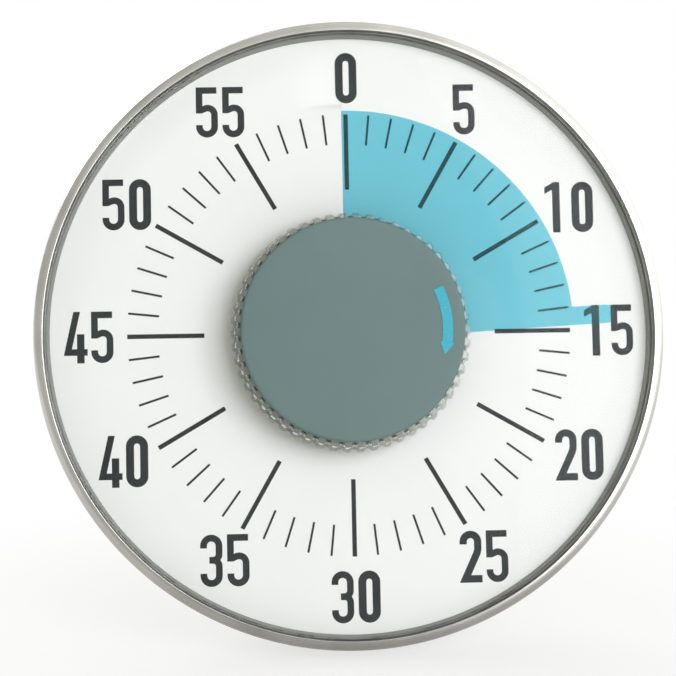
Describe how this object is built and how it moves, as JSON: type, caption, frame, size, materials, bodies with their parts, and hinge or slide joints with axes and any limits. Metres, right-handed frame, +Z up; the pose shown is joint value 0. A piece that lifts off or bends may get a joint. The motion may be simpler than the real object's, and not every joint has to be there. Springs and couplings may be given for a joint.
{
  "type": "visual countdown timer",
  "caption": "Round countdown timer on a fold-out leg: a blue film winds out of a slit in a white minute dial as the ribbed centre knob is turned.",
  "frame": {"origin": "centre of the rubber foot's underside, on the table, with the leg opened out", "axes": "+Z up from the table, -Y towards the viewer, +X to the viewer's right; the dial leans back 15 degrees"},
  "size_m": [0.19, 0.0814, 0.1863],
  "materials": {
    "bezel_steel": "spun and satin polished",
    "window_clear": "clear, polished",
    "spacer_olive": "satin",
    "dial_white": "matt, printed",
    "case_white": "fine spark texture",
    "rubber_grey": "matt",
    "steel": "turned",
    "screw_zinc": "zinc plated",
    "magnet_nickel": "nickel plated",
    "cell_wrap": "plain shrink wrap",
    "contact_brass": "plated strip",
    "movement_grey": "moulded",
    "wheel_plastic": "moulded",
    "magnet_ferrite": "sintered",
    "stator_iron": "stamped",
    "coil_copper": "enamelled wire",
    "board_green": "solder resist",
    "chip_black": "moulded",
    "film_blue": "tinted, thin",
    "hub_white": "moulded",
    "knob_clear": "clear, ribbed",
    "cap_grey": "satin",
    "arrow_blue": "printed"
  },
  "bodies": {
    "case": {"bezel_ring": "bezel_steel", "lens_window": "window_clear", "lens_spacer": "spacer_olive", "dial_plate": "dial_white", "front_frame": "case_white", "rear_shell": "case_white", "foot_pad": "rubber_grey", "case_screws": "screw_zinc", "wall_magnets": "magnet_nickel", "stand_pin": "steel", "battery_cell": "cell_wrap", "plate_contact": "contact_brass", "spring_contact": "contact_brass", "movement_front": "movement_grey", "movement_back": "movement_grey", "movement_screws": "screw_zinc", "stator": "stator_iron", "motor_coil": "coil_copper", "circuit_board": "board_green", "timer_chip": "chip_black", "quartz_crystal": "steel", "contact_leaf": "contact_brass", "buzzer_disc": "contact_brass", "buzzer_ring": "movement_grey", "switch_housing": "stator_iron"},
    "knob": {"knob_body": "knob_clear", "knob_cap": "cap_grey", "knob_arrow": "arrow_blue", "knob_screw": "screw_zinc", "spindle": "steel", "alarm_cam": "wheel_plastic", "clutch_clip": "chip_black"},
    "film": {"film_disc": "film_blue", "film_hub": "hub_white", "film_clamp": "hub_white"},
    "main_wheel": {"main_wheel": "wheel_plastic", "clutch_spring": "contact_brass"},
    "second_wheel": {"second_wheel": "wheel_plastic", "second_pinion": "steel"},
    "third_wheel": {"third_wheel": "wheel_plastic", "third_pinion": "steel"},
    "rotor": {"rotor_magnet": "magnet_ferrite", "rotor_pinion": "steel"},
    "battery_door": {"battery_door": "case_white"},
    "sound_switch": {"sound_switch": "chip_black"},
    "stand": {"stand_leg": "case_white", "leg_tip": "rubber_grey"}
  },
  "joints": [
    {"name": "knob_turn", "type": "hinge", "parent": "case", "child": "knob", "pos_m": [0, 0.00721, 0.09354], "axis": [0, 0.9659, -0.2588], "range_deg": [-84.8, 273]},
    {"name": "film_advance", "type": "slide", "parent": "knob", "child": "film", "axis": [0, -0.9659, 0.2588], "range_m": [-0.00026, 0.00084]},
    {"name": "rotor_spin", "type": "hinge", "parent": "case", "child": "rotor", "pos_m": [-0.01413, 0.01103, 0.1078], "axis": [0, 0.9659, -0.2588], "continuous": true},
    {"name": "third_wheel_spin", "type": "hinge", "parent": "case", "child": "third_wheel", "pos_m": [-0.01236, 0.00843, 0.0981], "axis": [0, 0.9659, -0.2588], "continuous": true},
    {"name": "second_wheel_spin", "type": "hinge", "parent": "case", "child": "second_wheel", "pos_m": [-0.0141, 0.00588, 0.08858], "axis": [0, 0.9659, -0.2588], "continuous": true},
    {"name": "main_wheel_spin", "type": "hinge", "parent": "case", "child": "main_wheel", "pos_m": [0, 0.00721, 0.09354], "axis": [0, 0.9659, -0.2588], "continuous": true},
    {"name": "battery_door_off", "type": "slide", "parent": "case", "child": "battery_door", "axis": [0, 0.9659, -0.2588], "range_m": [0, 0.02]},
    {"name": "sound_switch_slide", "type": "slide", "parent": "case", "child": "sound_switch", "axis": [1, 0, 0], "range_m": [0, 0.003]},
    {"name": "stand_fold", "type": "hinge", "parent": "case", "child": "stand", "pos_m": [0, 0.03548, 0.10149], "axis": [1, 0, 0], "range_deg": [-27, 0]}
  ],
  "couplings": [
    {"joint": "film_advance", "follows": "knob_turn", "m_per_rad": 0.00017507},
    {"joint": "third_wheel_spin", "follows": "rotor_spin", "ratio": -0.13333},
    {"joint": "second_wheel_spin", "follows": "rotor_spin", "ratio": 0.033333},
    {"joint": "main_wheel_spin", "follows": "rotor_spin", "ratio": -0.0083333}
  ]
}
